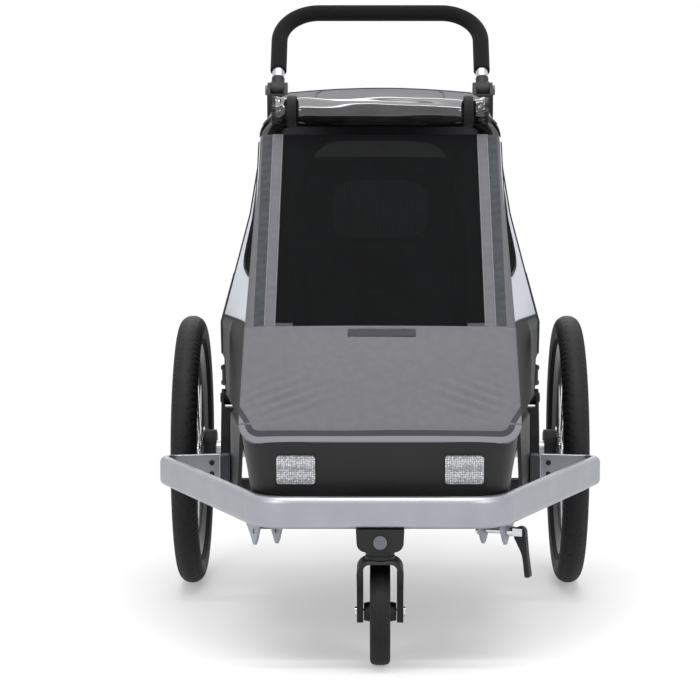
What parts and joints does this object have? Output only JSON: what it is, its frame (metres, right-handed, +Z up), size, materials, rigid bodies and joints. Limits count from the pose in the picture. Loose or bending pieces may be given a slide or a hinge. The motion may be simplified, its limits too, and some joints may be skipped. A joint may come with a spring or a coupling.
{
  "type": "child bicycle trailer",
  "caption": "Two-wheeled child trailer in stroller mode: folding fabric cabin, nose bumper, swivelling front wheel and tilting push handle.",
  "frame": {"origin": "on the floor, under the middle of the whole trailer", "axes": "+X to the trailer's own left, +Y to its tail, +Z up"},
  "size_m": [0.7682, 1.2288, 1.0995],
  "materials": {
    "tub_plastic": "moulded black polypropylene, fine grain",
    "frame_black": "black powder coat over aluminium tube",
    "axle_aluminium": "plain anodised tube",
    "moulded_black": "glass-filled nylon",
    "steel": "bright steel",
    "dark_steel": "blackened screw heads",
    "bracket_grey": "dark grey glass-filled nylon",
    "bumper_aluminium": "satin clear anodised",
    "reflector": "clear prismatic reflector",
    "hitch_grey": "grey coated plate",
    "pedal_plastic": "ribbed black plastic",
    "button_grey": "grey button",
    "tyre": "black rubber with fine tread",
    "foam": "closed-cell black foam",
    "seat_fabric": "black padded polyester",
    "head_rest_fabric": "light grey padded polyester",
    "webbing": "black webbing",
    "mesh": "dark mesh with grey border",
    "apron_fabric": "grey coated polyester",
    "roof_fabric": "dark grey coated polyester",
    "side_fabric": "light grey coated polyester",
    "clear_film": "rolled clear film with black hem",
    "rim_black": "black anodised rim"
  },
  "bodies": {
    "chassis": {"floor_tub": "tub_plastic", "skirts": "tub_plastic", "chassis_rails": "frame_black", "axle_tube": "axle_aluminium", "axle_saddles": "moulded_black", "stub_axles": "steel", "brake_housings": "moulded_black", "fold_brackets": "bracket_grey", "fold_pins": "steel", "hoop_feet": "moulded_black", "bumper": "bumper_aluminium", "bumper_brackets": "moulded_black", "bumper_screws": "dark_steel", "front_reflectors": "reflector", "flag_socket": "moulded_black", "hitch_receivers": "hitch_grey", "hitch_skewer": "steel", "caster_bracket": "moulded_black", "seat_cushion": "seat_fabric", "seat_back": "seat_fabric", "head_rest": "head_rest_fabric", "harness": "webbing", "buckle": "moulded_black", "window_mesh": "mesh", "front_apron": "apron_fabric", "roof_cover": "roof_fabric", "side_panels": "side_fabric", "rear_cover": "roof_fabric", "luggage_bag": "roof_fabric"},
    "rear_frame": {"rear_frame": "frame_black", "handle_mounts": "moulded_black"},
    "front_hoop": {"front_hoop": "frame_black", "rain_roll": "clear_film", "roll_straps": "webbing"},
    "handlebar": {"handle_tube": "axle_aluminium", "handle_knuckles": "moulded_black", "handle_grip": "foam"},
    "caster_swivel": {"caster_fork": "moulded_black", "caster_axle": "steel"},
    "caster_wheel": {"caster_tyre": "tyre", "caster_rim": "moulded_black"},
    "caster_button": {"caster_button": "button_grey"},
    "hitch_lever": {"hitch_lever": "moulded_black"},
    "brake_pedal": {"brake_pedal": "pedal_plastic"},
    "wheel_left": {"tyre_left": "tyre", "rim_left": "rim_black", "hub_left": "steel", "spokes_left": "steel"},
    "hub_button_left": {"hub_button_left": "button_grey"},
    "brake_pin_left": {"brake_pin_left": "steel"},
    "lock_sleeve_left": {"lock_sleeve_left": "moulded_black"},
    "handle_button_left": {"handle_button_left": "button_grey"},
    "wheel_right": {"tyre_right": "tyre", "rim_right": "rim_black", "hub_right": "steel", "spokes_right": "steel"},
    "hub_button_right": {"hub_button_right": "button_grey"},
    "brake_pin_right": {"brake_pin_right": "steel"},
    "lock_sleeve_right": {"lock_sleeve_right": "moulded_black"},
    "handle_button_right": {"handle_button_right": "button_grey"}
  },
  "joints": [
    {"name": "fold", "type": "hinge", "parent": "chassis", "child": "rear_frame", "pos_m": [0, 0.23457, 0.345], "axis": [1, 0, 0], "range_deg": [0, 100], "deforming": ["seat_back", "head_rest", "harness", "buckle", "window_mesh", "front_apron", "roof_cover", "side_panels", "rear_cover"]},
    {"name": "hoop_fold", "type": "hinge", "parent": "chassis", "child": "front_hoop", "pos_m": [0, -0.52543, 0.385], "axis": [-1, 0, 0], "range_deg": [0, 41.35]},
    {"name": "handle_tilt", "type": "hinge", "parent": "rear_frame", "child": "handlebar", "pos_m": [0, 0.45657, 0.926], "axis": [1, 0, 0], "range_deg": [-30, 40]},
    {"name": "caster_swivel", "type": "hinge", "parent": "chassis", "child": "caster_swivel", "pos_m": [0, -0.58443, 0.178], "axis": [0, 0, 1], "continuous": true},
    {"name": "caster_spin", "type": "hinge", "parent": "caster_swivel", "child": "caster_wheel", "pos_m": [0, -0.53043, 0.084], "axis": [1, 0, 0], "continuous": true},
    {"name": "caster_button_press", "type": "slide", "parent": "chassis", "child": "caster_button", "axis": [0, 1, 0], "range_m": [0, 0.003], "stiffness_N_per_m": 400},
    {"name": "hitch_lever_swing", "type": "hinge", "parent": "chassis", "child": "hitch_lever", "pos_m": [0.22261, -0.49384, 0.205], "axis": [-0.3746, -0.9272, 0], "range_deg": [0, 90]},
    {"name": "brake_pedal_tip", "type": "hinge", "parent": "chassis", "child": "brake_pedal", "pos_m": [0, 0.27457, 0.256], "axis": [-1, 0, 0], "range_deg": [0, 20], "stiffness_Nm_per_rad": 6, "springref_deg": -5.73},
    {"name": "wheel_spin_left", "type": "hinge", "parent": "chassis", "child": "wheel_left", "pos_m": [0.3505, 0.21457, 0.25], "axis": [1, 0, 0], "continuous": true},
    {"name": "hub_button_press_left", "type": "slide", "parent": "wheel_left", "child": "hub_button_left", "axis": [-1, 0, 0], "range_m": [0, 0.003], "stiffness_N_per_m": 400},
    {"name": "handle_button_press_left", "type": "slide", "parent": "rear_frame", "child": "handle_button_left", "axis": [-1, 0, 0], "range_m": [0, 0.003], "stiffness_N_per_m": 400},
    {"name": "lock_sleeve_slide_left", "type": "slide", "parent": "rear_frame", "child": "lock_sleeve_left", "axis": [0.0416, 0.3435, 0.9382], "range_m": [0, 0.015], "stiffness_N_per_m": 300, "springref_m": -0.002},
    {"name": "brake_pin_slide_left", "type": "slide", "parent": "chassis", "child": "brake_pin_left", "axis": [1, 0, 0], "range_m": [0, 0.0061]},
    {"name": "wheel_spin_right", "type": "hinge", "parent": "chassis", "child": "wheel_right", "pos_m": [-0.3505, 0.21457, 0.25], "axis": [1, 0, 0], "continuous": true},
    {"name": "hub_button_press_right", "type": "slide", "parent": "wheel_right", "child": "hub_button_right", "axis": [1, 0, 0], "range_m": [0, 0.003], "stiffness_N_per_m": 400},
    {"name": "handle_button_press_right", "type": "slide", "parent": "rear_frame", "child": "handle_button_right", "axis": [1, 0, 0], "range_m": [0, 0.003], "stiffness_N_per_m": 400},
    {"name": "lock_sleeve_slide_right", "type": "slide", "parent": "rear_frame", "child": "lock_sleeve_right", "axis": [-0.0416, 0.3435, 0.9382], "range_m": [0, 0.015], "stiffness_N_per_m": 300, "springref_m": -0.002},
    {"name": "brake_pin_slide_right", "type": "slide", "parent": "chassis", "child": "brake_pin_right", "axis": [-1, 0, 0], "range_m": [0, 0.0061]}
  ],
  "couplings": [
    {"joint": "hoop_fold", "follows": "fold", "ratio": 0.4134},
    {"joint": "brake_pin_slide_left", "follows": "brake_pedal_tip", "m_per_rad": 0.017189},
    {"joint": "brake_pin_slide_right", "follows": "brake_pedal_tip", "m_per_rad": 0.017189}
  ]
}
